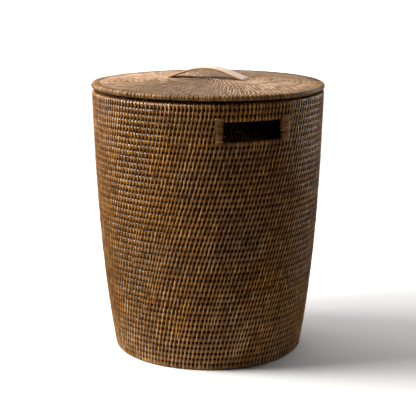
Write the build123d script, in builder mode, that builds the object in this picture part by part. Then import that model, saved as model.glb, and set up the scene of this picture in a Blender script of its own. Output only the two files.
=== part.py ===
from build123d import *

import math
import os

os.makedirs("parts", exist_ok=True)

# Round coiled-cane laundry basket with a loose lid and a leather lid strap.
# Millimetres, +Z up. The origin is on the floor, on the basket's axis.
# The two hand holes face -Y and +Y.

# ---------------------------------------------------------------- driving dimensions

# Basket wall: rows of bound cane, stacked on the foot row
RIM_HEIGHT = 565.0
WALL_ROWS = 45
MIDDLE_WALL_ROW = 13  # first row of the wall's middle part
UPPER_WALL_ROW = 26  # and of its upper part
TOP_RADIUS = 249.0
STRAIGHT_TAPER = 18.0  # how much smaller the foot is, by an even taper
FOOT_TAPER = 27.0  # and how much more it draws in towards the foot
WALL_THICKNESS = 12.5
SCALLOP = 1.8  # depth of the valley between two rows, on each side
LAND = 4.5  # flat width where a row rests on something

# Hand holes: three rows of the wall are cut away between two wrapped posts
FIRST_CUT_ROW = 39
CUT_ROWS = 3
HOLE_HALF_ANGLE = 14.6
POST_ANGLE = 4.5
POST_PROUD = 1.0  # the wrapping stands this much proud of the wall

# Base panel: flat coiled disc inside the foot row
FOOT_INNER_RADIUS = 191.5
FOOT_LAND_OUTER = 198.5
BASE_MIDDLE_Z = 7.5
PANEL_THICKNESS = 12.0
PANEL_SCALLOP = 1.6
PANEL_PITCH = 12.5
BASE_PANEL_ROWS = 14

# Lid: gently domed coiled disc, which rests on the rim
LID_RADIUS = 250.0
LID_EDGE_HEIGHT = 12.5
LID_EDGE_WIDTH = 14.0
LID_DOME = 10.5
LID_PANEL_ROWS = 18
LOCATING_ROW_WIDTH = 9.0
LOCATING_ROW_DEPTH = 10.0
LOCATING_ROW_GAP = 0.3  # left for the stitches between the panel and the locating row

# Leather strap over the lid, its ends let down through two slits
STRAP_TURN = -43.0  # the loose lid lies with its strap at this angle from +X
STRAP_WIDTH = 42.0
STRAP_THICKNESS = 3.4
STRAP_HALF_SPAN = 86.0  # the slits lie in the valley between two rows
STRAP_FLANK_SLOPE = 19.5
STRAP_CROWN_RADIUS = 135.0
STRAP_BEND_RADIUS = 5.0
STRAP_BEND_HEIGHT = 1.2  # height of the bend's corner above the lid
STRAP_TAIL = 17.0  # length of strap below the lid
SLIT_CLEARANCE = 1.0
TOGGLE_RADIUS = 3.0
TOGGLE_LENGTH = 38.0
TOGGLE_GAP = 0.8

# ---------------------------------------------------------------- derived values

ROW_PITCH = RIM_HEIGHT / WALL_ROWS
SILL_ROW = FIRST_CUT_ROW - 1
GRIP_ROW = FIRST_CUT_ROW + CUT_ROWS
COLLAR_ROW = GRIP_ROW + 1
RIM_ROW = WALL_ROWS - 1
POST_OUTER_ANGLE = HOLE_HALF_ANGLE + POST_ANGLE

RIM_LAND_OUTER = TOP_RADIUS - (WALL_THICKNESS - LAND) / 2
RIM_LAND_INNER = RIM_LAND_OUTER - LAND

BASE_START_RADIUS = FOOT_INNER_RADIUS - BASE_PANEL_ROWS * PANEL_PITCH
LID_PANEL_RADIUS = LID_RADIUS - LID_EDGE_WIDTH
LID_START_RADIUS = LID_PANEL_RADIUS - LID_PANEL_ROWS * PANEL_PITCH
LID_MIDDLE_Z = RIM_HEIGHT + LID_EDGE_HEIGHT / 2
PANEL_VALLEY = PANEL_THICKNESS / 2 - PANEL_SCALLOP

LOCATING_RADIUS = LID_PANEL_RADIUS - PANEL_PITCH / 2


def wall_radius(z):
    """Outer radius of the wall at the crest of a row, at height z."""
    left = 1 - z / RIM_HEIGHT
    return TOP_RADIUS - STRAIGHT_TAPER * left - FOOT_TAPER * left**3


def dome(radius):
    """Height of the lid's middle surface above its edge."""
    return LID_DOME * (1 - (radius / LID_RADIUS) ** 2)


def flat(radius):
    """The base panel has no dome."""
    return 0.0


def section_plane(angle):
    """Upright plane through the axis, its local x pointing outwards at the angle."""
    turn = math.radians(angle)
    return Plane(
        origin=(0, 0, 0),
        x_dir=(math.cos(turn), math.sin(turn), 0),
        z_dir=(math.sin(turn), -math.cos(turn), 0),
    )


def wall_edge(first, last, inset, scallop):
    """Draws one side of the wall's section from row first up to row last, one arc for each row."""
    for row in range(first, last + 1):
        low, high = row * ROW_PITCH, (row + 1) * ROW_PITCH
        middle = (low + high) / 2
        ThreePointArc(
            (wall_radius(low) - inset - scallop, low),
            (wall_radius(middle) - inset, middle),
            (wall_radius(high) - inset - scallop, high),
        )


def wall_section(first, last):
    """Draws the closed section of the wall rows from first to last."""
    bottom, top = first * ROW_PITCH, (last + 1) * ROW_PITCH
    wall_edge(first, last, 0, SCALLOP)
    wall_edge(first, last, WALL_THICKNESS, -SCALLOP)
    for z in (bottom, top):
        Line(
            (wall_radius(z) - SCALLOP, z),
            (wall_radius(z) - WALL_THICKNESS + SCALLOP, z),
        )


def panel_side(outer_radius, rows, middle_z, rise, side):
    """Draws the upper (side 1) or lower (side -1) edge of a panel's section, row by row."""
    for row in range(rows):
        outer = outer_radius - row * PANEL_PITCH
        inner = outer - PANEL_PITCH
        crest = (outer + inner) / 2
        ThreePointArc(
            (outer, middle_z + rise(outer) + side * PANEL_VALLEY),
            (crest, middle_z + rise(crest) + side * PANEL_THICKNESS / 2),
            (inner, middle_z + rise(inner) + side * PANEL_VALLEY),
        )


def panel_section(outer_radius, rows, middle_z, rise):
    """Draws the closed section of a coiled panel, from its outer radius inwards."""
    inner_radius = outer_radius - rows * PANEL_PITCH
    panel_side(outer_radius, rows, middle_z, rise, 1)
    panel_side(outer_radius, rows, middle_z, rise, -1)
    for radius in (outer_radius, inner_radius):
        z = middle_z + rise(radius)
        Line((radius, z - PANEL_VALLEY), (radius, z + PANEL_VALLEY))


def start_coil_section(radius, middle_z, rise):
    """Draws half the section of the small coil at a panel's middle, crowned on both faces."""
    side_z = middle_z + rise(radius)
    centre_top = middle_z + rise(0) + PANEL_THICKNESS / 2
    centre_bottom = centre_top - PANEL_THICKNESS
    side_top = side_z + PANEL_VALLEY
    side_bottom = side_z - PANEL_VALLEY
    TangentArc((0, centre_top), (radius, side_top), tangent=(1, 0))
    Line((radius, side_top), (radius, side_bottom))
    TangentArc((0, centre_bottom), (radius, side_bottom), tangent=(1, 0))
    Line((0, centre_bottom), (0, centre_top))


def save(piece, name):
    """Labels a finished piece and writes it to its own STEP file."""
    piece.label = name
    export_step(piece, f"parts/{name}.step")


# ---------------------------------------------------------------- base

with BuildPart() as base_start_coil:
    with BuildSketch(Plane.XZ):
        with BuildLine():
            start_coil_section(BASE_START_RADIUS, BASE_MIDDLE_Z, flat)
        make_face()
    revolve(axis=Axis.Z)
save(base_start_coil.part, "base_start_coil")

with BuildPart() as base_coils:
    with BuildSketch(Plane.XZ):
        with BuildLine():
            panel_section(FOOT_INNER_RADIUS, BASE_PANEL_ROWS, BASE_MIDDLE_Z, flat)
        make_face()
    revolve(axis=Axis.Z)
save(base_coils.part, "base_coils")

# The foot row stands on a flat land and closes round the base panel's edge.
with BuildPart() as foot_coil:
    with BuildSketch(Plane.XZ):
        with BuildLine():
            foot_top_outer = (wall_radius(ROW_PITCH) - SCALLOP, ROW_PITCH)
            foot_top_inner = (wall_radius(ROW_PITCH) - WALL_THICKNESS + SCALLOP, ROW_PITCH)
            panel_top = (FOOT_INNER_RADIUS, BASE_MIDDLE_Z + PANEL_VALLEY)
            panel_bottom = (FOOT_INNER_RADIUS, BASE_MIDDLE_Z - PANEL_VALLEY)
            land_inner = (FOOT_LAND_OUTER - LAND, 0)
            land_outer = (FOOT_LAND_OUTER, 0)
            Line(land_inner, land_outer)
            ThreePointArc(
                land_outer,
                (wall_radius(ROW_PITCH / 2) - SCALLOP / 2, ROW_PITCH / 2),
                foot_top_outer,
            )
            Line(foot_top_outer, foot_top_inner)
            Line(foot_top_inner, panel_top)
            Line(panel_top, panel_bottom)
            Line(panel_bottom, land_inner)
        make_face()
    revolve(axis=Axis.Z)
save(foot_coil.part, "foot_coil")

# ---------------------------------------------------------------- wall rows that go all round

full_rows = {
    "lower_wall_coils": (1, MIDDLE_WALL_ROW - 1),
    "middle_wall_coils": (MIDDLE_WALL_ROW, UPPER_WALL_ROW - 1),
    "upper_wall_coils": (UPPER_WALL_ROW, SILL_ROW - 1),
    "sill_coil": (SILL_ROW, SILL_ROW),
    "grip_coil": (GRIP_ROW, GRIP_ROW),
    "collar_coil": (COLLAR_ROW, RIM_ROW - 1),
}
for name, (first, last) in full_rows.items():
    with BuildPart() as rows:
        with BuildSketch(Plane.XZ):
            with BuildLine():
                wall_section(first, last)
            make_face()
        revolve(axis=Axis.Z)
    save(rows.part, name)

# The rim row is rounded over, with a narrow land on top for the lid.
with BuildPart() as rim_coil:
    with BuildSketch(Plane.XZ):
        with BuildLine():
            rim_bottom = RIM_ROW * ROW_PITCH
            rim_middle = (rim_bottom + RIM_HEIGHT) / 2
            outer_foot = (wall_radius(rim_bottom) - SCALLOP, rim_bottom)
            inner_foot = (wall_radius(rim_bottom) - WALL_THICKNESS + SCALLOP, rim_bottom)
            Line(inner_foot, outer_foot)
            ThreePointArc(outer_foot, (TOP_RADIUS, rim_middle), (RIM_LAND_OUTER, RIM_HEIGHT))
            Line((RIM_LAND_OUTER, RIM_HEIGHT), (RIM_LAND_INNER, RIM_HEIGHT))
            ThreePointArc(
                (RIM_LAND_INNER, RIM_HEIGHT),
                (TOP_RADIUS - WALL_THICKNESS, rim_middle),
                inner_foot,
            )
        make_face()
    revolve(axis=Axis.Z)
save(rim_coil.part, "rim_coil")

# ---------------------------------------------------------------- hand-hole band

# Rows cut at the holes: one stretch on each side of the basket, from post to post.
band_arc = 180 - 2 * POST_OUTER_ANGLE
for name, start_angle in (("right_band_coils", -90), ("left_band_coils", 90)):
    with BuildPart() as band:
        with BuildSketch(section_plane(start_angle + POST_OUTER_ANGLE)):
            with BuildLine():
                wall_section(FIRST_CUT_ROW, GRIP_ROW - 1)
            make_face()
        revolve(axis=Axis.Z, revolution_arc=band_arc)
    save(band.part, name)

# Wrapped posts close the rows' cut ends and stand between the sill and grip rows.
post_bottom = FIRST_CUT_ROW * ROW_PITCH
post_top = GRIP_ROW * ROW_PITCH
post_middle = (post_bottom + post_top) / 2
post_outer = wall_radius(post_middle) - SCALLOP
post_inner = wall_radius(post_middle) - WALL_THICKNESS + SCALLOP
post_bulge = SCALLOP + POST_PROUD
post_starts = {
    "front_left_post": -90 - POST_OUTER_ANGLE,
    "front_right_post": -90 + HOLE_HALF_ANGLE,
    "back_right_post": 90 - POST_OUTER_ANGLE,
    "back_left_post": 90 + HOLE_HALF_ANGLE,
}
for name, start_angle in post_starts.items():
    with BuildPart() as post:
        with BuildSketch(section_plane(start_angle)):
            with BuildLine():
                Line((post_inner, post_bottom), (post_outer, post_bottom))
                ThreePointArc(
                    (post_outer, post_bottom),
                    (post_outer + post_bulge, post_middle),
                    (post_outer, post_top),
                )
                Line((post_outer, post_top), (post_inner, post_top))
                ThreePointArc(
                    (post_inner, post_top),
                    (post_inner - post_bulge, post_middle),
                    (post_inner, post_bottom),
                )
            make_face()
        revolve(axis=Axis.Z, revolution_arc=POST_ANGLE)
    save(post.part, name)

# ---------------------------------------------------------------- lid

with BuildPart() as lid_start_coil:
    with BuildSketch(Plane.XZ):
        with BuildLine():
            start_coil_section(LID_START_RADIUS, LID_MIDDLE_Z, dome)
        make_face()
    revolve(axis=Axis.Z)
save(lid_start_coil.part, "lid_start_coil")

# The panel's rows part round the two slits that the strap goes down through.
strap_plane = section_plane(STRAP_TURN)
lid_top_at_slit = LID_MIDDLE_Z + dome(STRAP_HALF_SPAN) + PANEL_THICKNESS / 2
lid_underside_at_slit = lid_top_at_slit - PANEL_THICKNESS
with BuildPart() as lid_coils:
    with BuildSketch(Plane.XZ):
        with BuildLine():
            panel_section(LID_PANEL_RADIUS, LID_PANEL_ROWS, LID_MIDDLE_Z, dome)
        make_face()
    revolve(axis=Axis.Z)
    with BuildSketch(Plane.XY.offset(LID_MIDDLE_Z)):
        with PolarLocations(STRAP_HALF_SPAN, 2, start_angle=STRAP_TURN):
            Rectangle(STRAP_THICKNESS + 2 * SLIT_CLEARANCE, STRAP_WIDTH + 2 * SLIT_CLEARANCE)
    extrude(amount=2 * PANEL_THICKNESS, both=True, mode=Mode.SUBTRACT)
save(lid_coils.part, "lid_coils")

# The lid's edge row is rounded over and rests on the rim's land.
with BuildPart() as lid_edge_coil:
    with BuildSketch(Plane.XZ):
        with BuildLine():
            edge_top = RIM_HEIGHT + LID_EDGE_HEIGHT
            seam_z = LID_MIDDLE_Z + dome(LID_PANEL_RADIUS)
            seam_top = (LID_PANEL_RADIUS, seam_z + PANEL_VALLEY)
            seam_bottom = (LID_PANEL_RADIUS, seam_z - PANEL_VALLEY)
            Line(seam_top, seam_bottom)
            Line(seam_bottom, (RIM_LAND_INNER, RIM_HEIGHT))
            Line((RIM_LAND_INNER, RIM_HEIGHT), (RIM_LAND_OUTER, RIM_HEIGHT))
            ThreePointArc(
                (RIM_LAND_OUTER, RIM_HEIGHT),
                (LID_RADIUS, LID_MIDDLE_Z),
                (RIM_LAND_OUTER, edge_top),
            )
            ThreePointArc(
                (RIM_LAND_OUTER, edge_top),
                (RIM_LAND_INNER, edge_top),
                seam_top,
            )
        make_face()
    revolve(axis=Axis.Z)
save(lid_edge_coil.part, "lid_edge_coil")

# The locating row hangs from the outermost panel row and drops inside the rim.
panel_underside = LID_MIDDLE_Z + dome(LOCATING_RADIUS) - PANEL_THICKNESS / 2
locating_top = panel_underside - LOCATING_ROW_GAP
with BuildPart() as locating_coil:
    with BuildSketch(Plane.XZ):
        with Locations((LOCATING_RADIUS, locating_top - LOCATING_ROW_DEPTH / 2)):
            RectangleRounded(LOCATING_ROW_WIDTH, LOCATING_ROW_DEPTH, LOCATING_ROW_WIDTH / 3)
    revolve(axis=Axis.Z)
save(locating_coil.part, "locating_coil")

# ---------------------------------------------------------------- leather strap and its toggles

slit_z = lid_top_at_slit + STRAP_BEND_HEIGHT
tail_z = lid_underside_at_slit - STRAP_TAIL
peak_z = slit_z + STRAP_HALF_SPAN * math.tan(math.radians(STRAP_FLANK_SLOPE))
toggle_z = lid_underside_at_slit - TOGGLE_RADIUS - TOGGLE_GAP
with BuildPart() as handle_strap:
    with BuildSketch(strap_plane):
        with BuildLine():
            FilletPolyline(
                (-STRAP_HALF_SPAN, tail_z),
                (-STRAP_HALF_SPAN, slit_z),
                (0, peak_z),
                (STRAP_HALF_SPAN, slit_z),
                (STRAP_HALF_SPAN, tail_z),
                radius=[STRAP_BEND_RADIUS, STRAP_CROWN_RADIUS, STRAP_BEND_RADIUS],
            )
        trace(line_width=STRAP_THICKNESS)
    extrude(amount=STRAP_WIDTH / 2, both=True)
    # A punched hole near each end takes the toggle.
    with BuildSketch(Plane(origin=(0, 0, toggle_z), x_dir=(0, 0, 1), z_dir=strap_plane.x_dir)):
        Circle(TOGGLE_RADIUS)
    extrude(amount=STRAP_HALF_SPAN + STRAP_THICKNESS, both=True, mode=Mode.SUBTRACT)
save(handle_strap.part, "handle_strap")

for name, side in (("right_toggle", 1), ("left_toggle", -1)):
    toggle_origin = strap_plane.x_dir * (side * STRAP_HALF_SPAN) + Vector(0, 0, toggle_z)
    with BuildPart() as toggle:
        with BuildSketch(Plane(origin=toggle_origin, x_dir=(0, 0, 1), z_dir=strap_plane.x_dir)):
            Circle(TOGGLE_RADIUS)
        extrude(amount=TOGGLE_LENGTH / 2, both=True)
        chamfer(toggle.edges().filter_by(GeomType.CIRCLE), length=TOGGLE_RADIUS / 4)
    save(toggle.part, name)
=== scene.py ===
import math

import bpy
import numpy as np
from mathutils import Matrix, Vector


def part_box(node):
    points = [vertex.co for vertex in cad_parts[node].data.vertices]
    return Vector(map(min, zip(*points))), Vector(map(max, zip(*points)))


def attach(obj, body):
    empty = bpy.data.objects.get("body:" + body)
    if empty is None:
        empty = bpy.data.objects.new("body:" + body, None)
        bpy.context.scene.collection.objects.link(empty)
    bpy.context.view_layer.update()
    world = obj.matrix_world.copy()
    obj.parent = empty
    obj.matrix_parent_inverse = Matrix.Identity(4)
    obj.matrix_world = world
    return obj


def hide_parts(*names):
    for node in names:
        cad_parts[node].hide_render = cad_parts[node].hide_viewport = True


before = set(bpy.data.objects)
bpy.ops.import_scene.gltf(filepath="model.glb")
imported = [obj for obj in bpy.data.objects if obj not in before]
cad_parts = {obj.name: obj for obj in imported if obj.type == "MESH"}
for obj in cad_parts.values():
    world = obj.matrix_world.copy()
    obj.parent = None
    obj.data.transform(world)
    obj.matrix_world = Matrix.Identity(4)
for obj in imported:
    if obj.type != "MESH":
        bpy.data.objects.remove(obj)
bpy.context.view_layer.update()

# Coiled-cane laundry basket. Metres, +Z up, the same frame as the CAD.
# Every row is a core cane, wrapped in broad glossy turns of peel. Narrow strips of peel are looped
# round each pair of neighbouring rows. Each strip starts beside the end of the one below, so that
# the strips show as long leaning columns, with the crest of a wrap and a dark valley between.

MM = 0.001
TURN = 2 * math.pi
rng = np.random.default_rng(46)

# ---------------------------------------------------------------- sizes, from the frame

RIM_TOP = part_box("rim_coil")[1].z
TOP_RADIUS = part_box("rim_coil")[1].x
LID_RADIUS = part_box("lid_edge_coil")[1].x
WALL_ROWS = 45
ROW_PITCH = RIM_TOP / WALL_ROWS
STRAIGHT_TAPER = 18 * MM
FOOT_TAPER = 27 * MM

FIRST_CUT_ROW = round(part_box("front_left_post")[0].z / ROW_PITCH)
CUT_ROWS = 3
SILL_ROW = FIRST_CUT_ROW - 1
GRIP_ROW = FIRST_CUT_ROW + CUT_ROWS
RIM_ROW = WALL_ROWS - 1
HOLE_HALF_ANGLE = math.radians(14.6)
POST_ANGLE = math.radians(4.5)
HOLE_CENTRES = (-math.pi / 2, math.pi / 2)

PANEL_PITCH = 12.5 * MM
BASE_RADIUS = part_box("base_coils")[1].x
BASE_MIDDLE_Z = (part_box("base_coils")[0].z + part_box("base_coils")[1].z) / 2
LID_MIDDLE_Z = RIM_TOP + PANEL_PITCH / 2
LID_DOME = 10.5 * MM
LID_PANEL_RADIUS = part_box("lid_coils")[1].x
LOCATING_HALF_WIDTH = 4.5 * MM
LOCATING_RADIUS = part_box("locating_coil")[1].x - LOCATING_HALF_WIDTH
LOCATING_MIDDLE_Z = (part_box("locating_coil")[0].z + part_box("locating_coil")[1].z) / 2

# Strap: an arch between two slits, in the upright plane at STRAP_TURN
STRAP_TURN = math.radians(-43)
STRAP_WIDTH = 42 * MM
STRAP_THICKNESS = 3.4 * MM
STRAP_HALF_SPAN = 86 * MM
STRAP_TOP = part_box("handle_strap")[1].z
STRAP_TAIL_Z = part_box("handle_strap")[0].z
STRAP_SLOPE = math.radians(19.5)
STRAP_CROWN_RADIUS = 135 * MM
STRAP_BEND_RADIUS = 5 * MM
STRAP_EDGE_RADIUS = 0.9 * MM
STRAP_CUP = 0.5 * MM  # the strap's sides lie this much lower than its middle

# Weave
CANE_RADIUS = 4.5 * MM
CANE_REACH = 6.45 * MM  # canes are pressed against each other, so that they reach further that way
PEEL_THICKNESS = 1.15 * MM
CRESCENT = [(-0.5, 0.15), (-0.24, 0.93), (0.24, 0.93), (0.5, 0.15), (0.0, -0.1)]  # peel section
WRAP_WIDTH = 5.4 * MM
WRAP_LEAN = 0.3 * MM
STITCH_RADIUS = 5.05 * MM  # inside of the stitches, over the wraps
STITCH_REACH = 3.7 * MM  # how far a stitch runs past the middle of a cane before it turns in
STITCH_TUCK = 0.3 * MM  # how far it sinks into the valley between two canes
STITCH_PITCH = 8.2 * MM
STITCH_LEAN_SPREAD = 0.22 * MM
STITCH_WIDTH_SPREAD = 0.07
WRAP_LEAN_SPREAD = 0.2 * MM
WRAP_WIDTH_SPREAD = 0.08
PEEL_WIDTH = 2.9 * MM
COLUMN_JOG = 1.5 * MM  # how far beside the end of the stitch below a stitch starts


def wall_radius(z):
    """Outer radius of the wall at the crest of a row, at height z."""
    left = 1 - z / RIM_TOP
    return TOP_RADIUS - STRAIGHT_TAPER * left - FOOT_TAPER * left**3


def lid_dome(radius):
    """Height of the lid's middle surface above its edge."""
    return LID_DOME * (1 - (radius / LID_RADIUS) ** 2)


# ---------------------------------------------------------------- meshes


def add_mesh(name, shape, body, material):
    """Makes a smooth mesh piece from its shape, which is arrays of points and of quads, a dictionary of
    point attributes, and the UV places of the points."""
    points, quads, floats, uv = shape
    mesh = bpy.data.meshes.new(name)
    mesh.vertices.add(len(points))
    mesh.vertices.foreach_set("co", np.ascontiguousarray(points, np.float32).ravel())
    mesh.loops.add(quads.size)
    mesh.loops.foreach_set("vertex_index", np.ascontiguousarray(quads, np.int32).ravel())
    mesh.polygons.add(len(quads))
    mesh.polygons.foreach_set("loop_start", np.arange(0, quads.size, quads.shape[1], dtype=np.int32))
    mesh.update(calc_edges=True)
    for key, values in floats.items():
        layer = mesh.attributes.new(key, "FLOAT", "POINT")
        layer.data.foreach_set("value", np.ascontiguousarray(values, np.float32))
    layer = mesh.uv_layers.new(name="peel")
    layer.data.foreach_set("uv", np.ascontiguousarray(uv[quads.ravel()], np.float32).ravel())
    mesh.polygons.foreach_set("use_smooth", np.full(len(quads), True))
    mesh.materials.append(material)
    piece = bpy.data.objects.new(name, mesh)
    bpy.context.scene.collection.objects.link(piece)
    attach(piece, body)
    return piece


def unit(vectors):
    """Vectors of length one."""
    return vectors / np.linalg.norm(vectors, axis=-1, keepdims=True)


def fade(values, none, full):
    """0 where values are at none, changing evenly to 1 where they are at full."""
    return np.clip((values - none) / (full - none), 0, 1)


def round_axis(flat, angles):
    """3-D points or directions from flat (radius, z) ones, each turned by its angle round the axis."""
    return np.stack([flat[..., 0] * np.cos(angles), flat[..., 0] * np.sin(angles), flat[..., 1]], -1)


def grid_quads(strips, steps, around, closed):
    """Quads over strips of steps by around points; around always closes, steps closes on request."""
    last = steps if closed else steps - 1
    i, j = np.meshgrid(np.arange(last), np.arange(around), indexing="ij")
    ahead = (i + 1) % steps
    beside = (j + 1) % around
    one = np.stack([i * around + j, i * around + beside, ahead * around + beside, ahead * around + j], -1)
    one = one.reshape(-1, 4)
    return (one[None] + np.arange(strips)[:, None, None] * steps * around).reshape(-1, 4)


STRIP_OFFSETS = (63, 360)  # mm, so that no two strips show the same piece of the fibre pattern


def peel_strips(paths, normals, widths, painted_shade, tones):
    """Sweeps the peel's section round closed paths (strips, steps, 3), its skin side along normals."""
    strips, steps = paths.shape[:2]
    tangents = unit(np.roll(paths, -1, 1) - np.roll(paths, 1, 1))
    sideways = unit(np.cross(tangents, normals))
    lifts = np.cross(sideways, tangents)
    section = np.array(CRESCENT)
    widths = np.broadcast_to(widths, (strips, steps))
    points = (
        paths[:, :, None]
        + sideways[:, :, None] * (section[:, 0] * widths[:, :, None])[..., None]
        + lifts[:, :, None] * (section[:, 1] * PEEL_THICKNESS)[:, None]
    )
    runs = np.linalg.norm(np.roll(paths, -1, 1) - paths, axis=-1)
    along = np.cumsum(runs, 1) - runs
    offsets = rng.random((strips, 2)) * STRIP_OFFSETS
    around = len(section)
    uv = np.empty((strips, steps, around, 2))
    uv[..., 0] = section[:, 0] * PEEL_WIDTH / MM + offsets[:, 0, None, None]
    uv[..., 1] = (along / MM)[:, :, None] + offsets[:, 1, None, None]
    painted_shade = np.broadcast_to(painted_shade, (strips, steps))
    # The shade values are painted shade, which the peel materials multiply in.
    floats = {
        "tone": np.repeat(tones, steps * around),
        "painted_shade": np.repeat(painted_shade, around),
    }
    quads = grid_quads(strips, steps, around, True)
    return points.reshape(-1, 3), quads, floats, uv.reshape(-1, 2)


def join(parts):
    """Joins several (points, quads, floats, uv) sets into one."""
    starts = np.cumsum([0] + [len(p[0]) for p in parts[:-1]])
    points = np.concatenate([p[0] for p in parts])
    quads = np.concatenate([p[1] + s for p, s in zip(parts, starts)])
    floats = {key: np.concatenate([p[2][key] for p in parts]) for key in parts[0][2]}
    uv = np.concatenate([p[3] for p in parts])
    return points, quads, floats, uv


# ---------------------------------------------------------------- rows of a coiled surface


OUTWARDS = np.array([1.0, 0.0])  # (radius, z) directions
UPWARDS = np.array([0.0, 1.0])
WAVES = 5  # of a row's wobble


class Rows:
    """The canes of one coiled surface: centre lines as (radius, z), with a gentle wobble. Its last row
    rises by warp on the side at warp_angle, and the rows within it by less."""

    def __init__(self, centres, wobble, warp=0.0, warp_angle=0.0):
        self.centres = np.array(centres)
        self.wobble = wobble
        self.warp = warp
        self.warp_angle = warp_angle
        start = TURN * rng.random((2, WAVES))
        self.phases = start + np.cumsum(rng.normal(0, 0.5, (len(centres), 2, WAVES)), 0)
        self.swings = rng.normal(0, 1, (len(centres), 2, WAVES)) / np.arange(1, WAVES + 1) ** 0.7

    def at(self, row, angles):
        """Centre (radius, z) of a row's cane at each angle, as an (n, 2) array."""
        waves = 2 * np.arange(1, WAVES + 1)
        swing = np.sin(angles[:, None, None] * waves + self.phases[row]) * self.swings[row]
        places = self.centres[row] + self.wobble * swing.sum(-1) * 0.5
        side = np.clip(np.cos(angles - self.warp_angle), 0, 1)
        places[:, 1] += self.warp * side * (self.centres[row][0] / self.centres[-1][0]) ** 4
        return places

    def outward(self, row):
        """Unit (radius, z) normal of the surface at a row: outwards on a wall, downwards on a panel."""
        if len(self.centres) == 1:
            return OUTWARDS
        low, high = max(row - 1, 0), min(row + 1, len(self.centres) - 1)
        run = self.centres[high] - self.centres[low]
        return np.array([run[1], -run[0]]) / np.linalg.norm(run)


EVENING_PASSES = 3
EVENING_SHARE = 0.15
FEWEST_STITCHES = 8


def stitch_angles(rows, leans, jitter):
    """Angles of the stitches over each pair of neighbouring rows. Each stitch carries on from one of
    the pair before, a jog beside its end, and stitches are let in where the round grows. Each moves a
    little towards the middle between its neighbours. jitter is how unevenly they lie, as a share of
    the pitch."""
    found = []
    for pair in range(len(rows.centres) - 1):
        radius = (rows.centres[pair][0] + rows.centres[pair + 1][0]) / 2
        wanted = max(FEWEST_STITCHES, round(TURN * radius / STITCH_PITCH))
        if not found:
            angles = np.arange(wanted) * TURN / wanted
        else:
            jog = math.copysign(COLUMN_JOG, leans[pair])
            angles = found[-1] + (leans[pair - 1] + leans[pair] + jog) / radius
            while len(angles) < wanted:
                gaps = np.diff(np.append(angles, angles[0] + TURN))
                widest = np.argmax(gaps * (1 + 0.5 * rng.random(len(gaps))))
                angles = np.insert(angles, widest + 1, angles[widest] + gaps[widest] / 2)
        for _ in range(EVENING_PASSES):
            ahead = np.append(angles[1:], angles[0] + TURN)
            behind = np.insert(angles[:-1], 0, angles[-1] - TURN)
            angles = angles + EVENING_SHARE * ((ahead + behind) / 2 - angles)
        angles = angles + rng.normal(0, jitter * STITCH_PITCH / radius, len(angles))
        found.append(angles)
    return found


EDGE_SPREAD = 0.55  # how much wider the peel lies where it binds an edge
LOOP_TURNS = np.radians([0, 20, 42, 66, 90, 120, 150, 180])
WAIST_SHADE = 0.22  # painted shade: a stitch is drawn a little darker where it crosses the valley
WAIST_HALF_HEIGHT = 2.5 * MM


def pair_loops(low, high, angles, lean, outward, bare):
    """Closed paths of the loops round two neighbouring canes, with their normals, painted shade and spread.
    bare is +1 or -1 where the high or low end shows at an edge: there it runs on, spreads and has no
    painted shade."""
    run = high - low
    length = np.linalg.norm(run, axis=1, keepdims=True)
    up = (run / length)[:, None]
    out = np.stack([up[..., 1], -up[..., 0]], -1)
    out = out * np.sign(out @ outward)[..., None]
    ends = []
    for centre, side, turns in ((high, 1, LOOP_TURNS), (low, -1, LOOP_TURNS[::-1])):
        turns = turns[:, None]
        reach = np.where(bare == side, STITCH_RADIUS, STITCH_REACH)[:, None, None]
        spots = centre[:, None] + STITCH_RADIUS * np.cos(turns) * out + side * reach * np.sin(turns) * up
        faces = unit(np.cos(turns) / STITCH_RADIUS * out + side * np.sin(turns) / reach * up)
        ends.append((spots, faces))
    middle = ((low + high) / 2)[:, None]
    depth = STITCH_RADIUS - STITCH_TUCK
    flat = np.concatenate([ends[0][0], middle - depth * out, ends[1][0], middle + depth * out], 1)
    facing = np.concatenate([ends[0][1], -out, ends[1][1], out], 1)
    height = ((flat - middle) * up).sum(-1)
    share = height / (length / 2)
    turned = angles[:, None] + lean[:, None] * share / flat[..., 0]
    at_edge = fade(share * bare[:, None], 0.1, 1.1)
    # Painted shade: darker where the loop turns in towards the valley or under a cane, less at a bare edge,
    # and a little darker at its waist in the valley.
    outwardness = np.abs((facing * out).sum(-1))
    turned_in = np.where(share > 0, fade(outwardness, 0.75, 0.15), fade(outwardness, 1.0, 0.3))
    turned_in = turned_in * (1 - 0.8 * np.minimum(at_edge * 2, 1))
    waist = WAIST_SHADE * np.exp(-((height / WAIST_HALF_HEIGHT) ** 2))
    painted_shade = np.clip(turned_in + waist, 0, 1)
    return round_axis(flat, turned), round_axis(facing, turned), painted_shade, 1 + EDGE_SPREAD * at_edge


WRAP_STEPS = 10


def single_loops(centre, angles, lean, cane, outward, free):
    """Closed paths of wraps round one cane, leaning along it, with their normals and painted shade. They
    get painted shade where they turn in from outward, but not on the free side of an edge row."""
    turns = np.arange(WRAP_STEPS) * TURN / WRAP_STEPS
    ways = np.stack([np.cos(turns), np.sin(turns)], -1)
    flat = centre[:, None] + cane * ways
    turned = angles[:, None] + lean[:, None] * np.sin(turns) / flat[..., 0]
    facing = np.broadcast_to(ways, flat.shape)
    turned_in = fade(np.abs(ways @ outward), 0.88, 0.43)
    if free is not None:
        turned_in = turned_in * (ways @ free < 0.1)
    painted_shade = np.broadcast_to(turned_in, flat.shape[:2])
    return round_axis(flat, turned), round_axis(facing, turned), painted_shade


def in_hole(angles, margin):
    """Which angles lie within a hand hole, widened by margin on each side."""
    hit = np.zeros(len(angles), bool)
    for centre in HOLE_CENTRES:
        away = (angles - centre + math.pi) % TURN - math.pi
        hit |= np.abs(away) < HOLE_HALF_ANGLE + margin
    return hit


TONE_RUN = 5
RUN_CONTRAST = 0.30
TONE_SPREAD = 0.16


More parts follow.
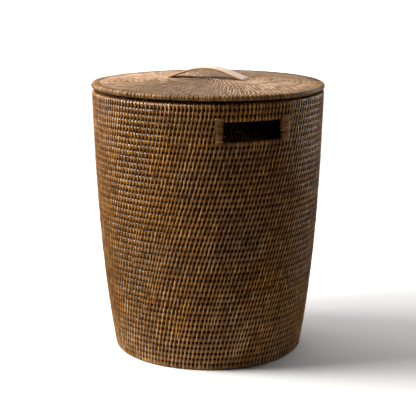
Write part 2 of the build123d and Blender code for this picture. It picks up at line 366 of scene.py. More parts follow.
def tones_of(count, lift):
    """A tone from 0 (dark) to 1 (pale) for each strip, in short runs from the same length of peel, and
    all of them paler by lift."""
    runs = np.repeat(rng.random(count // TONE_RUN + 2), TONE_RUN)[:count]
    return np.clip(0.5 + RUN_CONTRAST * (runs - 0.5) + rng.normal(0, TONE_SPREAD, count) + lift, 0, 1)


CANE_SEGMENTS = 120
CANE_SIDES = 16
ROW_OFFSET = 13  # mm, so that no two canes show the same piece of the fibre pattern


def cane_tube(rows, row, radius, reaches, arc=None):
    """A core cane as a tube round a row, or over an arc of it. reaches are how far it goes downwards or
    inwards, and upwards or outwards, in the surface. It is darkened by painted shade in the valleys."""
    if arc is None:
        angles = np.arange(CANE_SEGMENTS) * TURN / CANE_SEGMENTS
    else:
        angles = np.linspace(*arc, int(CANE_SEGMENTS * (arc[1] - arc[0]) / TURN))
    centre = rows.at(row, angles)
    turns = np.arange(CANE_SIDES) * TURN / CANE_SIDES
    across = rows.outward(row)
    along = across[::-1] * (1, -1)
    reach = np.where(np.sin(turns) > 0, *reaches)[:, None]
    oval = np.cos(turns)[:, None] * across * radius + np.sin(turns)[:, None] * along * reach
    flat = centre[:, None] + oval[None]
    points = round_axis(flat, angles[:, None])
    quads = grid_quads(1, len(angles), CANE_SIDES, arc is None)
    uv = np.empty((len(angles), CANE_SIDES, 2))
    uv[..., 0] = (angles * centre[:, 0] / MM)[:, None]
    uv[..., 1] = turns * radius / MM + row * ROW_OFFSET
    # Painted shade: darker where the cane faces into the valleys.
    depth = fade(np.abs(np.cos(turns)), 0.72, 0.38)
    floats = {
        "tone": np.full(len(angles) * CANE_SIDES, rng.uniform(0.3, 0.7)),
        "painted_shade": np.broadcast_to(depth, (len(angles), CANE_SIDES)).reshape(-1),
    }
    return points.reshape(-1, 3), quads, floats, uv.reshape(-1, 2)


def turned_flat(x, y, z, angle):
    """Points at x, y and z, turned by one angle round the axis."""
    cosine, sine = math.cos(angle), math.sin(angle)
    return np.stack([x * cosine - y * sine, x * sine + y * cosine, z], -1)


def rectangle(half_x, half_y):
    """Corners of a rectangle about the origin."""
    return [(-half_x, -half_y), (half_x, -half_y), (half_x, half_y), (-half_x, half_y)]


def rounded_path(corners, radii, step, closed=False):
    """Points along a flat polyline with its corners rounded, about a step apart."""
    corners = [np.array(c, float) for c in corners]
    count = len(corners)
    points = [] if closed else [corners[0]]
    for i in range(0 if closed else 1, count if closed else count - 1):
        corner = corners[i]
        back = unit(corners[i - 1] - corner)
        ahead = unit(corners[(i + 1) % count] - corner)
        half = math.acos(np.clip(back @ ahead, -1, 1)) / 2
        reach = radii[i] / math.tan(half)
        centre = corner + unit(back + ahead) * radii[i] / math.sin(half)
        start = corner + back * reach - centre
        sweep = math.pi - 2 * half
        sign = np.sign(np.cross(start, corner + ahead * reach - centre))
        for turn in np.linspace(0, sweep, max(3, int(sweep * radii[i] / step) + 1)):
            cosine, sine = math.cos(turn), math.sin(turn) * sign
            spot = (cosine * start[0] - sine * start[1], sine * start[0] + cosine * start[1])
            points.append(centre + spot)
    if not closed:
        points.append(corners[-1])
    filled = []
    pairs = zip(points, points[1:] + points[:1] if closed else points[1:])
    for here, there in pairs:
        parts = max(1, int(np.linalg.norm(there - here) / step))
        filled += [here + (there - here) * k / parts for k in range(parts)]
    if not closed:
        filled.append(points[-1])
    return np.array(filled)


def lathe(profile, steps=20):
    """Points and quads of a round body from its (radius, height) profile, along +Z."""
    turns = np.arange(steps) * TURN / steps
    profile = np.array(profile)
    points = np.stack(
        [
            profile[:, 0, None] * np.cos(turns),
            profile[:, 0, None] * np.sin(turns),
            np.broadcast_to(profile[:, 1, None], (len(profile), steps)),
        ],
        -1,
    )
    return points.reshape(-1, 3), grid_quads(1, len(profile), steps, False)[:, ::-1]


# ---------------------------------------------------------------- materials


def node_maker(owner):
    """A short way to add nodes to a material or world and link them."""
    tree = owner.node_tree

    def make(kind, inputs=None, **settings):
        node = tree.nodes.new(kind)
        for key, value in settings.items():
            setattr(node, key, value)
        for key, value in (inputs or {}).items():
            if isinstance(value, bpy.types.NodeSocket):
                tree.links.new(value, node.inputs[key])
            else:
                node.inputs[key].default_value = value
        return node

    return make


def noise(make, place, scale, **inputs):
    """A noise texture over scaled places."""
    stretched = make("ShaderNodeMapping", {"Vector": place, "Scale": scale}).outputs["Vector"]
    return make("ShaderNodeTexNoise", {"Vector": stretched, "Scale": 1.0, **inputs}).outputs["Fac"]


def ramp(make, factor, stops):
    """A colour ramp through (place, colour) stops."""
    node = make("ShaderNodeValToRGB", {"Fac": factor})
    elements = node.color_ramp.elements
    while len(elements) < len(stops):
        elements.new(0.5)
    for element, (place, colour) in zip(elements, stops):
        element.position = place
        element.color = (*colour, 1)
    return node.outputs["Color"]


def sum_of(make, values, share, more):
    """The values times share, plus more."""
    return make("ShaderNodeMath", {0: values, 1: share, 2: more}, operation="MULTIPLY_ADD").outputs[0]


def spread_of(make, values, low, high, start=0.0, end=1.0):
    """The values, with low to high stretched out to start to end."""
    ends = {"Value": values, "From Min": low, "From Max": high, "To Min": start, "To Max": end}
    return make("ShaderNodeMapRange", ends).outputs["Result"]


def mix(make, factor, colour, other, blend_type):
    """Two colours, mixed or multiplied, as blend_type says."""
    inputs = {"Factor": factor, "A": colour, "B": other}
    return make("ShaderNodeMix", inputs, data_type="RGBA", blend_type=blend_type).outputs["Result"]


FIBRE_SCALE = (2.6, 0.16, 1)  # across and along the peel, per mm
BLOTCH_SCALE = (0.25, 0.11, 1)
PATCH_SCALE = (8, 8, 8)  # per metre
NEUTRAL = (1, 1, 1)
PINKISH = (1.02, 1.08, 1.45)
GOLDEN = (1.06, 0.98, 0.62)


def patch_tint(make):
    """A tint that turns from pinkish near the floor to golden higher up, in uneven patches."""
    spot = make("ShaderNodeTexCoord").outputs["Object"]
    height = make("ShaderNodeSeparateXYZ", {"Vector": spot}).outputs["Z"]
    patches = noise(make, spot, PATCH_SCALE, Detail=3.0)
    return ramp(make, sum_of(make, height, 0.3, patches), [(0.46, PINKISH), (0.58, NEUTRAL), (0.70, GOLDEN)])


def peel_material(name, tones, shade_colour, rough, gloss, patchy=False):
    """Rattan peel: lengthwise fibres, blotchy colouring, painted shade where it turns under and in the
    valleys, and a thin lacquer.
    """
    material = bpy.data.materials.new(name)
    material.use_nodes = True
    make = node_maker(material)
    tone = make("ShaderNodeAttribute", attribute_name="tone").outputs["Fac"]
    painted_shade = make("ShaderNodeAttribute", attribute_name="painted_shade").outputs["Fac"]
    place = make("ShaderNodeUVMap", uv_map="peel").outputs["UV"]
    fibres = noise(make, place, FIBRE_SCALE, Detail=3.0, Roughness=0.6)
    blotches = noise(make, place, BLOTCH_SCALE, Detail=2.0)
    grain_tone = sum_of(make, blotches, 0.5, sum_of(make, fibres, 0.55, tone))
    colour = ramp(make, spread_of(make, grain_tone, 0.45, 1.55), tones)
    if patchy:
        colour = mix(make, 1.0, colour, patch_tint(make), "MULTIPLY")
    # Painted shade: the colour is multiplied darker in the valleys and where the peel turns under.
    shaded = mix(make, painted_shade, colour, (*shade_colour, 1), "MULTIPLY")
    roughness = spread_of(make, fibres, 0.3, 0.7, rough - 0.05, rough + 0.12)
    bump = make("ShaderNodeBump", {"Height": fibres, "Strength": 0.35, "Distance": 0.3 * MM})
    shader = material.node_tree.nodes["Principled BSDF"]
    link = material.node_tree.links.new
    link(shaded, shader.inputs["Base Color"])
    link(roughness, shader.inputs["Roughness"])
    link(bump.outputs["Normal"], shader.inputs["Normal"])
    shader.inputs["Specular IOR Level"].default_value = gloss
    return material


WALL_TONES = [
    (0.0, (0.085, 0.034, 0.008)),
    (0.35, (0.190, 0.080, 0.017)),
    (0.7, (0.310, 0.145, 0.034)),
    (1.0, (0.480, 0.265, 0.085)),
]
LID_TONES = [
    (0.0, (0.109, 0.056, 0.024)),
    (0.35, (0.224, 0.129, 0.068)),
    (0.7, (0.340, 0.214, 0.122)),
    (1.0, (0.462, 0.320, 0.204)),
]
POST_TONES = [
    (0.0, (0.07, 0.029, 0.007)),
    (0.5, (0.15, 0.066, 0.017)),
    (1.0, (0.29, 0.145, 0.046)),
]
WRAP_TONES = [
    (0.0, (0.026, 0.010, 0.003)),
    (0.5, (0.075, 0.031, 0.008)),
    (1.0, (0.180, 0.080, 0.023)),
]
CORE_TONES = [
    (0.0, (0.015, 0.007, 0.003)),
    (0.5, (0.035, 0.016, 0.006)),
    (1.0, (0.090, 0.042, 0.017)),
]
LID_WRAP_TONES = [
    (0.0, (0.102, 0.054, 0.024)),
    (0.5, (0.224, 0.134, 0.074)),
    (1.0, (0.365, 0.243, 0.150)),
]
# The lid's edge row: partly its own browner peel, partly painted shade for the front of the edge, which faces
# away from the key light.
EDGE_AND_SHADE_TONES = [
    (0.0, (0.065, 0.026, 0.006)),
    (0.5, (0.150, 0.070, 0.018)),
    (1.0, (0.300, 0.160, 0.055)),
]
# The third colour of each peel material is the colour of its painted shade.
wall_peel = peel_material("wall_peel", WALL_TONES, (0.07, 0.045, 0.03), 0.24, 0.35, True)
wall_wrap = peel_material("wall_wrap", WRAP_TONES, (0.05, 0.035, 0.025), 0.17, 1.0, True)
core_cane = peel_material("core_cane", CORE_TONES, (0.4, 0.35, 0.3), 0.6, 0.1)
lid_peel = peel_material("lid_peel", LID_TONES, (0.14, 0.09, 0.06), 0.5, 0.3)
lid_wrap = peel_material("lid_wrap", LID_WRAP_TONES, (0.03, 0.02, 0.012), 0.5, 0.3)
edge_peel_and_shade = peel_material("edge_peel_and_shade", EDGE_AND_SHADE_TONES, (0.10, 0.07, 0.045), 0.35, 0.3)
post_peel = peel_material("post_peel", POST_TONES, (0.2, 0.14, 0.1), 0.34, 0.25)
base_peel = peel_material("base_peel", WALL_TONES, (0.1, 0.07, 0.05), 0.55, 0.3)
base_wrap = peel_material("base_wrap", WRAP_TONES, (0.05, 0.035, 0.025), 0.55, 0.3)


CLOUD_SCALE = (0.06, 0.03, 1)  # across and along the strap, per mm
GRAIN_SCALE = (1.6, 1.6, 1.6)


def leather_material():
    """Undyed tanned leather: cloudy, fine-grained faces and burnished brown cut edges."""
    material = bpy.data.materials.new("strap_leather")
    material.use_nodes = True
    make = node_maker(material)
    edge = make("ShaderNodeAttribute", attribute_name="edge").outputs["Fac"]
    place = make("ShaderNodeUVMap", uv_map="peel").outputs["UV"]
    clouds = noise(make, place, CLOUD_SCALE, Detail=4.0)
    face = ramp(make, clouds, [(0.3, (0.47, 0.335, 0.25)), (0.7, (0.57, 0.43, 0.335))])
    rim = ramp(make, clouds, [(0.3, (0.19, 0.088, 0.022)), (0.7, (0.32, 0.160, 0.045))])
    grain = noise(make, place, GRAIN_SCALE, Detail=4.0)
    bump = make("ShaderNodeBump", {"Height": grain, "Strength": 0.25, "Distance": 0.2 * MM})
    shader = material.node_tree.nodes["Principled BSDF"]
    link = material.node_tree.links.new
    link(mix(make, edge, face, rim, "MIX"), shader.inputs["Base Color"])
    link(bump.outputs["Normal"], shader.inputs["Normal"])
    shader.inputs["Roughness"].default_value = 0.62
    return material


leather = leather_material()

# ---------------------------------------------------------------- wall

ROW_DEPTH = STITCH_RADIUS + PEEL_THICKNESS
wall_centres = []
for row in range(WALL_ROWS):
    z = (row + 0.5) * ROW_PITCH
    wall_centres.append((wall_radius(z) - ROW_DEPTH, z))
wall_rows = Rows(wall_centres, 0.3 * MM)
wall_rows.swings[0] = 0  # the foot row lies flat

WALL_JITTER = 0.03
END_LEAN = 0.45 * MM  # lean of the wall's stitches at the foot and the rim, over half their length
MIDDLE_LEAN = 0.75 * MM  # they lean this much more at half height
row_heights = np.arange(WALL_ROWS - 1) / (WALL_ROWS - 2)
wall_leans = END_LEAN + MIDDLE_LEAN * np.sin(math.pi * row_heights) ** 1.2
wall_leans = wall_leans + rng.normal(0, 0.12 * MM, len(wall_leans))
wall_angles = stitch_angles(wall_rows, wall_leans, WALL_JITTER)

WALL_NODES = {  # the first and last row of each
    "foot_coil": (0, 0),
    "lower_wall_coils": (1, 12),
    "middle_wall_coils": (13, 25),
    "upper_wall_coils": (26, SILL_ROW - 1),
    "sill_coil": (SILL_ROW, SILL_ROW),
    "left_band_coils": (FIRST_CUT_ROW, GRIP_ROW - 1),
    "right_band_coils": (FIRST_CUT_ROW, GRIP_ROW - 1),
    "grip_coil": (GRIP_ROW, GRIP_ROW),
    "collar_coil": (GRIP_ROW + 1, GRIP_ROW + 1),
    "rim_coil": (RIM_ROW, RIM_ROW),
}


def pair_strips(low, high, angles, lean, outward, width, bare, lift=0.0):
    """The stitches that tie the low points to the high ones, at the given angles."""
    count = len(angles)
    leans = lean + rng.normal(0, STITCH_LEAN_SPREAD, count)
    paths, normals, painted_shade, spread = pair_loops(low, high, angles, leans, outward, bare)
    widths = width * (1 + rng.normal(0, STITCH_WIDTH_SPREAD, (count, 1))) * spread
    return peel_strips(paths, normals, widths, painted_shade, tones_of(count, lift))


def wrap_strips(centres, angles, lean, width, cane, outward, free, lift=0.0):
    """Wraps round one cane only, at the given angles."""
    count = len(angles)
    leans = lean + rng.normal(0, WRAP_LEAN_SPREAD, count)
    paths, normals, painted_shade = single_loops(centres, angles, leans, cane, outward, free)
    widths = width * (1 + rng.normal(0, WRAP_WIDTH_SPREAD, (count, 1)))
    return peel_strips(paths, normals, widths, painted_shade, tones_of(count, lift))


def gap_angles(rows, row, angles, leans):
    """Angles midway between the columns of stitches, where they cross a row."""
    pair = max(row - 1, 0)
    radius = rows.centres[row][0]
    end = leans[pair] + math.copysign(COLUMN_JOG / 2, leans[pair])
    columns = angles[pair] + (end if row else -leans[0]) / radius
    return (columns + np.append(columns[1:], columns[0] + TURN)) / 2 % TURN


PALE_ROWS = 14
WRAP_FOOT_LIFT = 0.55
STITCH_FOOT_LIFT = 0.25
HOLE_MARGIN = POST_ANGLE * 0.9  # the weave ends this far from a hand hole, under its post
CANE_MARGIN = POST_ANGLE * 0.7


def near_foot(row):
    """1 at the foot row, falling to 0 at PALE_ROWS: the stitches and wraps are paler near the foot."""
    return max(0, 1 - row / PALE_ROWS)


def wall_wraps(row):
    """The broad turns of peel round a wall row, between its columns of stitches."""
    gaps = gap_angles(wall_rows, row, wall_angles, wall_leans)
    if FIRST_CUT_ROW <= row < GRIP_ROW:
        gaps = gaps[~in_hole(gaps, HOLE_MARGIN)]
    free = {0: -UPWARDS, RIM_ROW: UPWARDS}.get(row)
    return wrap_strips(wall_rows.at(row, gaps), gaps, WRAP_LEAN, WRAP_WIDTH, CANE_RADIUS, OUTWARDS, free,
                       WRAP_FOOT_LIFT * near_foot(row))


def wall_pair(pair):
    """The stitches over the valley between wall row pair and the row above it."""
    angles = wall_angles[pair] % TURN
    if SILL_ROW <= pair < GRIP_ROW:
        angles = angles[~in_hole(angles, HOLE_MARGIN)]
    bare = np.zeros(len(angles))
    if pair in (SILL_ROW - 1, RIM_ROW - 1):
        bare += 1
    if pair in (0, GRIP_ROW):
        bare -= 1
    if pair in (SILL_ROW - 1, GRIP_ROW):
        bare *= in_hole(angles, 0)
    low, high = wall_rows.at(pair, angles), wall_rows.at(pair + 1, angles)
    return pair_strips(low, high, angles, wall_leans[pair], OUTWARDS, PEEL_WIDTH, bare,
                       STITCH_FOOT_LIFT * near_foot(pair))


ROWS_PER_PIECE = 5
for start in range(0, RIM_ROW, ROWS_PER_PIECE):
    pairs = range(start, min(start + ROWS_PER_PIECE, RIM_ROW))
    shape = join([wall_pair(pair) for pair in pairs])
    piece = add_mesh(f"wall_stitches_{start:02d}", shape, "basket", wall_peel)
    for node, (first, last) in WALL_NODES.items():
        if first <= pairs[-1] + 1 and last >= start:
            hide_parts(node)

ROWS_PER_WRAP_PIECE = 9
for start in range(0, WALL_ROWS, ROWS_PER_WRAP_PIECE):
    shape = join([wall_wraps(row) for row in range(start, start + ROWS_PER_WRAP_PIECE)])
    add_mesh(f"wall_wraps_{start:02d}", shape, "basket", wall_wrap)

canes = []
for row in range(WALL_ROWS):
    reaches = (CANE_RADIUS if row == 0 else CANE_REACH, CANE_RADIUS if row == RIM_ROW else CANE_REACH)
    if FIRST_CUT_ROW <= row < GRIP_ROW:
        cut = HOLE_HALF_ANGLE + CANE_MARGIN
        for centre in HOLE_CENTRES:
            arc = (centre + cut, centre + math.pi - cut)
            canes.append(cane_tube(wall_rows, row, CANE_RADIUS, reaches, arc))
    else:
        canes.append(cane_tube(wall_rows, row, CANE_RADIUS, reaches))
add_mesh("wall_canes", join(canes), "basket", core_cane)

# ---------------------------------------------------------------- hand-hole posts

POST_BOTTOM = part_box("front_left_post")[0].z
POST_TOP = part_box("front_left_post")[1].z
POST_OVERLAP = 6 * MM  # the windings run this far on to the rows above and below
POST_TURN_PITCH = 4.5 * MM
POST_PEEL_WIDTH = 4.9 * MM
POST_STAIN = 0.1
POST_CORNER = 3.2 * MM
POST_SLANT = 0.9 * MM  # a turn rises this much from the middle of the wall to its face
POST_DEPTH = 2 * (ROW_DEPTH + 0.2 * MM)
POST_WIDTH = 15.2 * MM
POST_SHIFT = (POST_ANGLE * TOP_RADIUS - POST_WIDTH) / 2 / TOP_RADIUS  # its outer edge stays in place
POSTS = {
    "front_left_post": -math.pi / 2 - HOLE_HALF_ANGLE - POST_ANGLE / 2 - POST_SHIFT,
    "front_right_post": -math.pi / 2 + HOLE_HALF_ANGLE + POST_ANGLE / 2 + POST_SHIFT,
    "back_right_post": math.pi / 2 - HOLE_HALF_ANGLE - POST_ANGLE / 2 - POST_SHIFT,
    "back_left_post": math.pi / 2 + HOLE_HALF_ANGLE + POST_ANGLE / 2 + POST_SHIFT,
}


def post_windings(angle):
    """Close turns of peel round a post, one over the other."""
    heights = np.arange(POST_BOTTOM - POST_OVERLAP, POST_TOP + POST_OVERLAP, POST_TURN_PITCH)
    spots = []
    faces = []
    for height in heights:
        half_width = POST_WIDTH / 2 + rng.normal(0, 0.6 * MM)
        half_depth = POST_DEPTH / 2 + rng.normal(0, 0.15 * MM)
        flat = rounded_path(rectangle(half_depth, half_width), [POST_CORNER] * 4, POST_WIDTH * 4, closed=True)
        ahead = np.roll(flat, -1, 0) - np.roll(flat, 1, 0)
        out = unit(np.stack([ahead[:, 1], -ahead[:, 0]], 1))
        radius = wall_radius(height) - ROW_DEPTH + flat[:, 0]
        rise = POST_SLANT * flat[:, 0] / half_depth + rng.normal(0, 0.15 * MM)
        spots.append(turned_flat(radius, flat[:, 1], height + rise, angle))
        faces.append(turned_flat(out[:, 0], out[:, 1], np.zeros(len(out)), angle))
    count = len(heights)
    widths = POST_PEEL_WIDTH * (1 + rng.normal(0, WRAP_WIDTH_SPREAD, (count, 1)))
    return peel_strips(np.array(spots), np.array(faces), widths, POST_STAIN, tones_of(count, 0.0))


for node, angle in POSTS.items():
    piece = add_mesh(f"{node}_windings", post_windings(angle), "basket", post_peel)
    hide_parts(node)

# ---------------------------------------------------------------- panels

PANEL_JITTER = 0.08  # panel stitches lie less evenly than the wall's


def panel_centres(outer, middle_z, rise):
    """Row centres of a coiled panel, from the middle outwards."""
    radii = np.arange(outer - PANEL_PITCH / 2, PANEL_PITCH / 3, -PANEL_PITCH)[::-1]
    return [(radius, middle_z + rise(radius)) for radius in radii]


def panel_pair(rows, pair, angles, lean, width):
    """The stitches over the valley between a panel's row pair and the next row out."""
    angles = angles % TURN
    bare = np.full(len(angles), float(pair == len(rows.centres) - 2))
    return pair_strips(rows.at(pair, angles), rows.at(pair + 1, angles), angles, lean, UPWARDS, width, bare)


def panel_wraps(rows, row, angles, leans, free):
    """The broad turns of peel round a panel's row, between its columns of stitches."""
    gaps = gap_angles(rows, row, angles, leans)
    return wrap_strips(rows.at(row, gaps), gaps, WRAP_LEAN, WRAP_WIDTH, CANE_RADIUS, UPWARDS, free)


def add_panel(name, rows, leans, body, materials, width, split, nodes):
    """A panel's stitches, in pieces that end at the rows in split and stand for the nodes, and the wraps
    of all its rows but the last. materials are those of its stitches, its wraps and its last stitches.
    Returns the angles of the stitches."""
    angles = stitch_angles(rows, leans, PANEL_JITTER)
    last_row = len(rows.centres) - 1
    bounds = [0, *split, last_row]
    for part, (first, end) in enumerate(zip(bounds, bounds[1:])):
        shape = join([panel_pair(rows, pair, angles[pair], leans[pair], width) for pair in range(first, end)])
        material = materials[2] if end == last_row else materials[0]
        piece = add_mesh(f"{name}_stitches_{part}", shape, body, material)
        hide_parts(*nodes[part])
    shape = join([panel_wraps(rows, row, angles, leans, None) for row in range(last_row)])
    add_mesh(f"{name}_wraps", shape, body, materials[1])
    return angles


INNER_REACHES = (CANE_REACH, CANE_REACH)
BASE_PEEL_WIDTH = 3.4 * MM
base_centres = panel_centres(BASE_RADIUS, BASE_MIDDLE_Z, lambda radius: 0)
base_rows = Rows([*base_centres, wall_centres[0]], 0.2 * MM)
base_rows.swings[-1] = 0  # its last row is the wall's foot row
base_leans = np.full(len(base_centres), -0.5 * MM)
add_panel("base", base_rows, base_leans, "basket", (base_peel, base_wrap, base_peel),
          BASE_PEEL_WIDTH, [10], [["base_start_coil", "base_coils"], ["base_coils"]])
tubes = [cane_tube(base_rows, row, CANE_RADIUS, INNER_REACHES) for row in range(len(base_centres))]
add_mesh("base_canes", join(tubes), "basket", core_cane)

# ---------------------------------------------------------------- lid

LID_PEEL_WIDTH = 3.3 * MM
LID_LEAN = -1.5 * MM
LID_EDGE_LIFT = 1.8 * MM  # the edge row sits this much above mid height, off the rim
LID_WARP = 3.4 * MM  # the lid has warped a little, and stands off the rim on one side
LID_WARP_ANGLE = math.radians(-150)
lid_centres = panel_centres(LID_PANEL_RADIUS, LID_MIDDLE_Z, lid_dome)
lid_rows = Rows([*lid_centres, (LID_RADIUS - ROW_DEPTH, LID_MIDDLE_Z + LID_EDGE_LIFT)], 0.25 * MM,
                LID_WARP, LID_WARP_ANGLE)
lid_rows.swings[-1] *= 0.3  # the edge is the straightest row
lid_leans = LID_LEAN + rng.normal(0, 0.2 * MM, len(lid_centres))
lid_angles = add_panel("lid", lid_rows, lid_leans, "lid", (lid_peel, lid_wrap, edge_peel_and_shade),
                       LID_PEEL_WIDTH, [10, len(lid_centres) - 1],
                       [["lid_start_coil", "lid_coils"], ["lid_coils"], ["lid_coils", "lid_edge_coil"]])
shape = panel_wraps(lid_rows, len(lid_centres), lid_angles, lid_leans, OUTWARDS)
add_mesh("lid_edge_wraps", shape, "lid", edge_peel_and_shade)

# The locating row hangs under the lid, and its cane is pressed up against the lid's stitches.
LOCATING_PITCH = 4.3 * MM
LOCATING_PEEL_WIDTH = 3.9 * MM
LOCATING_LEAN = 1.0 * MM
LOCATING_CANE = 3.8 * MM
LOCATING_REACH = LID_MIDDLE_Z + lid_dome(LOCATING_RADIUS) - STITCH_RADIUS - LOCATING_MIDDLE_Z
locating_angles = np.arange(round(TURN * LOCATING_RADIUS / LOCATING_PITCH)) * LOCATING_PITCH / LOCATING_RADIUS
locating_rows = Rows([(LOCATING_RADIUS, LOCATING_MIDDLE_Z)], 0.1 * MM,
                     LID_WARP * (LOCATING_RADIUS / LID_RADIUS) ** 4, LID_WARP_ANGLE)
# The locating row takes the base's dark wrap peel as painted shade, so that it stays dark in the gap under
# the lid.
shape = wrap_strips(locating_rows.at(0, locating_angles), locating_angles, LOCATING_LEAN,
                    LOCATING_PEEL_WIDTH, LOCATING_CANE, OUTWARDS, OUTWARDS)
piece = add_mesh("locating_wraps", shape, "lid", base_wrap)
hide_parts("locating_coil")

tubes = [cane_tube(lid_rows, row, CANE_RADIUS, INNER_REACHES) for row in range(len(lid_centres))]
tubes.append(cane_tube(lid_rows, len(lid_centres), CANE_RADIUS, (CANE_REACH, CANE_RADIUS)))
tubes.append(cane_tube(locating_rows, 0, LOCATING_CANE, (LOCATING_CANE, LOCATING_REACH)))
add_mesh("lid_canes", join(tubes), "lid", core_cane)

# ---------------------------------------------------------------- leather strap and toggles

slope_rise = STRAP_CROWN_RADIUS * (1 / math.cos(STRAP_SLOPE) - 1)
peak_z = STRAP_TOP - STRAP_THICKNESS / 2 + slope_rise
slit_z = peak_z - STRAP_HALF_SPAN * math.tan(STRAP_SLOPE)


def strap_mesh():
    """The strap: a flat band with rounded cut edges, a little cupped and uneven, swept along its arch."""
    route = rounded_path(
        [(-STRAP_HALF_SPAN, STRAP_TAIL_Z), (-STRAP_HALF_SPAN, slit_z), (0, peak_z),
         (STRAP_HALF_SPAN, slit_z), (STRAP_HALF_SPAN, STRAP_TAIL_Z)],
        [0, STRAP_BEND_RADIUS, STRAP_CROWN_RADIUS, STRAP_BEND_RADIUS, 0],
        2.5 * MM,
    )
    half = STRAP_WIDTH / 2
    section = rounded_path(rectangle(half, STRAP_THICKNESS / 2), [STRAP_EDGE_RADIUS] * 4, 3 * MM, closed=True)
    ahead = np.gradient(route, axis=0)
    up = unit(np.stack([-ahead[:, 1], ahead[:, 0]], 1))
    share = np.linspace(0, 1, len(route))
    waver = 0.35 * MM * np.sin(share * 9 + 1) + 0.2 * MM * np.sin(share * 23)
    along = np.cumsum(np.linalg.norm(np.diff(route, axis=0, prepend=route[:1]), axis=1))
    across = section[None, :, 0] * (1 + 0.006 * np.sin(share * 31)[:, None]) + waver[:, None]
    cup = STRAP_CUP * (section[:, 0] / half) ** 2
    lift = section[:, 1] - cup
    flat = route[:, None] + up[:, None] * lift[:, None]
    points = turned_flat(flat[..., 0], across, flat[..., 1], STRAP_TURN)
    quads = grid_quads(1, len(route), len(section), False)
    edge = fade(np.abs(section[:, 0]), half - 0.8 * MM, half - 0.2 * MM)
    edge = np.broadcast_to(edge, points.shape[:2])
    uv = np.stack([np.broadcast_to(section[:, 0] / MM, edge.shape),
                   np.broadcast_to(along[:, None] / MM, edge.shape)], -1)
    return points.reshape(-1, 3), quads, {"edge": edge.reshape(-1)}, uv.reshape(-1, 2)


strap = add_mesh("leather_strap", strap_mesh(), "lid", leather)
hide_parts("handle_strap")

# A piece of plain cane with a knuckle and worn ends: (share of the radius, share of the length)
PEG_PROFILE = [(0.8, -0.5), (0.95, -0.47), (0.93, -0.2), (1, -0.16), (0.97, -0.12), (0.94, 0.3),
               (0.96, 0.47), (0.8, 0.5)]
PEG_TIP = 0.05 * MM  # radius at the middle of each end face
PEG_TONE = 0.9


def toggle_peg(node):
    """The peg through a strap end, lying across the run of the strap's arch."""
    low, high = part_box(node)
    length = (high - low).x / math.cos(STRAP_TURN) - 2 * MM
    radius = (high - low).z / 2
    outline = [(share * radius, place * length) for share, place in PEG_PROFILE]
    spots, quads = lathe([(PEG_TIP, -length / 2), *outline, (PEG_TIP, length / 2)])
    points = turned_flat(spots[:, 2], -spots[:, 1], spots[:, 0], STRAP_TURN) + np.array((low + high) / 2)
    floats = {"tone": np.full(len(spots), PEG_TONE), "painted_shade": np.zeros(len(spots))}
    return points, quads, floats, spots[:, (0, 2)] / MM


for node in ("right_toggle", "left_toggle"):
    piece = add_mesh(f"{node}_peg", toggle_peg(node), "lid", lid_wrap)
    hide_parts(node)

# ---------------------------------------------------------------- floor, light and camera


def plain_material(name, colour, rough):
    """An even, matt material for the floor."""
    material = bpy.data.materials.new(name)
    material.use_nodes = True
    shader = material.node_tree.nodes["Principled BSDF"]
    shader.inputs["Base Color"].default_value = (*colour, 1)
    shader.inputs["Roughness"].default_value = rough
    return material


FLOOR_REACH = 40.0
floor_mesh = bpy.data.meshes.new("floor")
floor_mesh.from_pydata([(x, y, 0) for x, y in rectangle(FLOOR_REACH, FLOOR_REACH)], [], [(0, 1, 2, 3)])
floor_mesh.materials.append(plain_material("floor", (0.64, 0.64, 0.64), 0.9))
floor = bpy.data.objects.new("floor", floor_mesh)
bpy.context.scene.collection.objects.link(floor)
floor.visible_glossy = False

# The air is dim, so that the lamps model the weave, and white behind the floor's far edge.
AMBIENT = 0.05
world = bpy.data.worlds.new("studio")
bpy.context.scene.world = world
world.use_nodes = True
world_make = node_maker(world)
dim = world.node_tree.nodes["Background"]
dim.inputs["Color"].default_value = (1.0, 0.97, 0.93, 1)
dim.inputs["Strength"].default_value = AMBIENT
backdrop = world_make("ShaderNodeBackground", {"Color": (1, 1, 1, 1), "Strength": 1.0})
seen = world_make("ShaderNodeLightPath").outputs["Is Camera Ray"]
either = world_make("ShaderNodeMixShader", {0: seen, 1: dim.outputs[0], 2: backdrop.outputs[0]})
world.node_tree.links.new(either.outputs[0], world.node_tree.nodes["World Output"].inputs["Surface"])
bpy.context.scene.view_settings.view_transform = "Standard"

CAMERA_TURN = math.radians(22.5)  # the front hand hole shows this far round to the right
CAMERA_DISTANCE = 2.6225
CAMERA_HEIGHT = 0.8925
CAMERA_TILT = math.radians(12.7)
CAMERA_LENS = 106.0
SENSOR_WIDTH = 36


def from_camera(right, away, up):
    """A point given by its offsets from the basket's axis, as the camera sees it."""
    across = Vector((math.cos(CAMERA_TURN), -math.sin(CAMERA_TURN), 0))
    forward = Vector((math.sin(CAMERA_TURN), math.cos(CAMERA_TURN), 0))
    return across * right + forward * away + Vector((0, 0, up))


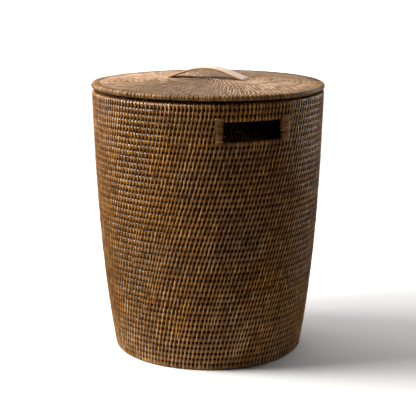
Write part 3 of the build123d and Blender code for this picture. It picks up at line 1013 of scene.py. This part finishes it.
def add_area_light(name, place, target, size, power, colour=(1, 1, 1)):
    """A soft box that faces its target."""
    data = bpy.data.lights.new(name, "AREA")
    data.shape = "RECTANGLE"
    data.size, data.size_y = size
    data.energy = power
    data.color = colour
    light = bpy.data.objects.new(name, data)
    light.location = place
    light.rotation_euler = (target - place).to_track_quat("-Z", "Y").to_euler()
    bpy.context.scene.collection.objects.link(light)


def add_sun(name, azimuth, elevation, softness, power, colour=(1, 1, 1)):
    """A far, diffused lamp with no glint, at an azimuth round from the camera's side of the basket."""
    data = bpy.data.lights.new(name, "SUN")
    data.angle = softness
    data.energy = power
    data.color = colour
    light = bpy.data.objects.new(name, data)
    light.visible_glossy = False
    place = from_camera(math.sin(azimuth), -math.cos(azimuth), math.tan(elevation))
    light.rotation_euler = place.to_track_quat("Z", "Y").to_euler()
    bpy.context.scene.collection.objects.link(light)


AIM = Vector((0, 0, 0.35))
LID_AIM = Vector((0, 0, 0.58))
add_area_light("key", from_camera(-1.5, -0.33, 1.65), AIM, (0.7, 1.4), 80, (1.0, 0.98, 0.95))
add_sun("side", math.radians(-96), math.radians(33), math.radians(22), 3.1, (1.0, 0.96, 0.90))
add_area_light("top", from_camera(0.1, 0.7, 2.3), LID_AIM, (1.2, 1.2), 8)
add_area_light("backdrop", from_camera(0, 4.6, 3.6), from_camera(0, 5.6, 0), (9, 5), 380)
add_area_light("far_backdrop", from_camera(0, 9.5, 5.0), from_camera(0, 14.0, 0), (16, 6), 2600)
add_area_light("left_rim", from_camera(-1.5, 1.3, 0.9), AIM, (0.8, 1.6), 18)
add_area_light("right_rim", from_camera(1.7, 1.1, 0.7), AIM, (0.8, 1.4), 18)

camera_data = bpy.data.cameras.new("camera")
camera_data.lens = CAMERA_LENS
camera_data.sensor_width = SENSOR_WIDTH
camera = bpy.data.objects.new("camera", camera_data)
camera.location = from_camera(0, -CAMERA_DISTANCE, CAMERA_HEIGHT)
camera.rotation_euler = (math.pi / 2 - CAMERA_TILT, 0, -CAMERA_TURN)
bpy.context.scene.collection.objects.link(camera)
bpy.context.scene.camera = camera
